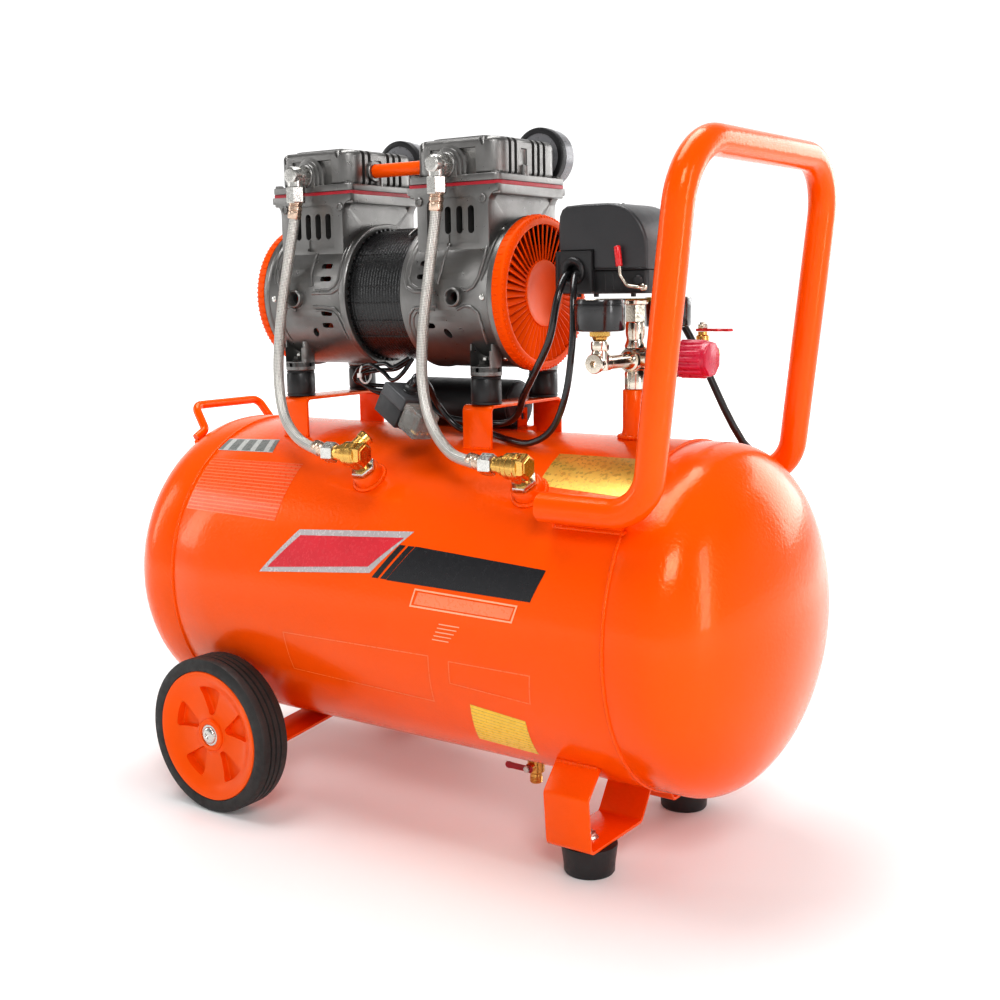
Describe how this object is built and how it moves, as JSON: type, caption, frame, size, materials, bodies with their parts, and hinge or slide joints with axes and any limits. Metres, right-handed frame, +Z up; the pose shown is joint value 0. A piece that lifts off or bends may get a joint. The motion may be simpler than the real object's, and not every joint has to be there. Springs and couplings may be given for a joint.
{
  "type": "air compressor",
  "caption": "Portable oil-free air compressor: twin-head motor pump on a horizontal tank with wheels, loop handle, gauges, regulator and pressure switch.",
  "frame": {"origin": "on the floor, centred under the object's own box (measured without the mains cord): under the middle of the tank", "axes": "+X along the tank towards the large loop handle, +Y across it away from the check valves, +Z up"},
  "size_m": [0.713, 0.4565, 0.656],
  "materials": {
    "orange_enamel": "glossy",
    "orange_plastic": "semi-gloss",
    "tyre": "matte",
    "zinc_steel": "bright zinc",
    "braided_steel": "woven wire",
    "black_rubber": "matte",
    "cast_aluminium": "grey painted casting",
    "grey_plastic": "satin",
    "dark_lamination": "varnished laminations",
    "black_plastic": "satin",
    "brass": "machined",
    "nickel_plate": "nickel plated brass",
    "crimson_plastic": "glossy"
  },
  "bodies": {
    "receiver": {"axle_front": "zinc_steel", "axle_rear": "zinc_steel", "capacitor": "black_plastic", "check_valve_left": "brass", "check_valve_right": "brass", "cord_coil": "black_rubber", "cord_plug": "black_rubber", "crankcase_left": "cast_aluminium", "crankcase_right": "cast_aluminium", "crossover_pipe": "orange_enamel", "drain_valve": "brass", "fan_cover_left": "orange_plastic", "fan_cover_right": "orange_plastic", "foot_bracket_front": "orange_enamel", "foot_bracket_rear": "orange_enamel", "gauge_outlet": "black_plastic", "gauge_tank": "black_plastic", "head_left": "cast_aluminium", "head_right": "cast_aluminium", "hose_left": "braided_steel", "hose_right": "braided_steel", "intake_filter_left": "grey_plastic", "intake_filter_right": "grey_plastic", "main_handle": "orange_enamel", "manifold": "nickel_plate", "motor_lead": "black_rubber", "motor_stator": "dark_lamination", "power_cord": "black_rubber", "pump_stand_left": "orange_enamel", "pump_stand_right": "orange_enamel", "regulator_body": "black_plastic", "rubber_foot_front": "black_rubber", "rubber_foot_rear": "black_rubber", "rubber_mount_left_front": "black_rubber", "rubber_mount_left_rear": "black_rubber", "rubber_mount_right_front": "black_rubber", "rubber_mount_right_rear": "black_rubber", "small_handle": "orange_enamel", "solenoid_coil": "black_plastic", "solenoid_lead": "black_rubber", "switch_base": "black_plastic", "switch_cover": "black_plastic", "tank_shell": "orange_enamel", "wheel_bracket_front": "orange_enamel", "wheel_bracket_rear": "orange_enamel"},
    "wheel_front": {"wheel_rim_front": "orange_plastic", "tyre_front": "tyre"},
    "wheel_rear": {"wheel_rim_rear": "orange_plastic", "tyre_rear": "tyre"},
    "rotor": {"rotor_shaft": "zinc_steel", "fan_left": "orange_plastic", "fan_right": "orange_plastic"},
    "con_rod_left": {"con_rod_left": "cast_aluminium"},
    "con_rod_right": {"con_rod_right": "cast_aluminium"},
    "switch_lever": {"switch_lever": "zinc_steel"},
    "regulator_knob": {"regulator_knob": "crimson_plastic"},
    "outlet_lever": {"outlet_lever": "crimson_plastic"},
    "drain_lever": {"drain_lever": "crimson_plastic"},
    "needle_tank": {"needle_tank": "black_plastic"},
    "needle_outlet": {"needle_outlet": "black_plastic"}
  },
  "joints": [
    {"name": "wheel_front_spin", "type": "hinge", "parent": "receiver", "child": "wheel_front", "pos_m": [-0.183, -0.1635, 0.0774], "axis": [0, 1, 0], "continuous": true},
    {"name": "wheel_rear_spin", "type": "hinge", "parent": "receiver", "child": "wheel_rear", "pos_m": [-0.183, 0.1635, 0.0774], "axis": [0, 1, 0], "continuous": true},
    {"name": "rotor_spin", "type": "hinge", "parent": "receiver", "child": "rotor", "pos_m": [-0.051, 0, 0.5004], "axis": [1, 0, 0], "continuous": true},
    {"name": "con_rod_left_pivot", "type": "hinge", "parent": "rotor", "child": "con_rod_left", "pos_m": [-0.137, 0, 0.4929], "axis": [1, 0, 0], "continuous": true},
    {"name": "con_rod_right_pivot", "type": "hinge", "parent": "rotor", "child": "con_rod_right", "pos_m": [0.035, 0, 0.5079], "axis": [1, 0, 0], "continuous": true},
    {"name": "switch_lever_swing", "type": "hinge", "parent": "receiver", "child": "switch_lever", "pos_m": [0.2185, -0.0366, 0.5045], "axis": [0, 1, 0], "range_deg": [0, 50]},
    {"name": "regulator_knob_turn", "type": "hinge", "parent": "receiver", "child": "regulator_knob", "pos_m": [0.2381, 0, 0.4432], "axis": [1, 0, 0], "range_deg": [-720, 720]},
    {"name": "outlet_lever_turn", "type": "hinge", "parent": "receiver", "child": "outlet_lever", "pos_m": [0.2245, 0.068, 0.4655], "axis": [0, 0, 1], "range_deg": [0, 90]},
    {"name": "drain_lever_turn", "type": "hinge", "parent": "receiver", "child": "drain_lever", "pos_m": [0.083, -0.0145, 0.046], "axis": [0, 1, 0], "range_deg": [-90, 0]},
    {"name": "needle_tank_sweep", "type": "hinge", "parent": "receiver", "child": "needle_tank", "pos_m": [0.193, -0.06, 0.49], "axis": [0, 0, 1], "range_deg": [-270, 0]},
    {"name": "needle_outlet_sweep", "type": "hinge", "parent": "receiver", "child": "needle_outlet", "pos_m": [0.193, 0.06, 0.49], "axis": [0, 0, 1], "range_deg": [-270, 0]}
  ],
  "couplings": [
    {"joint": "con_rod_left_pivot", "follows": "rotor_spin", "ratio": -1},
    {"joint": "con_rod_right_pivot", "follows": "rotor_spin", "ratio": -1}
  ]
}
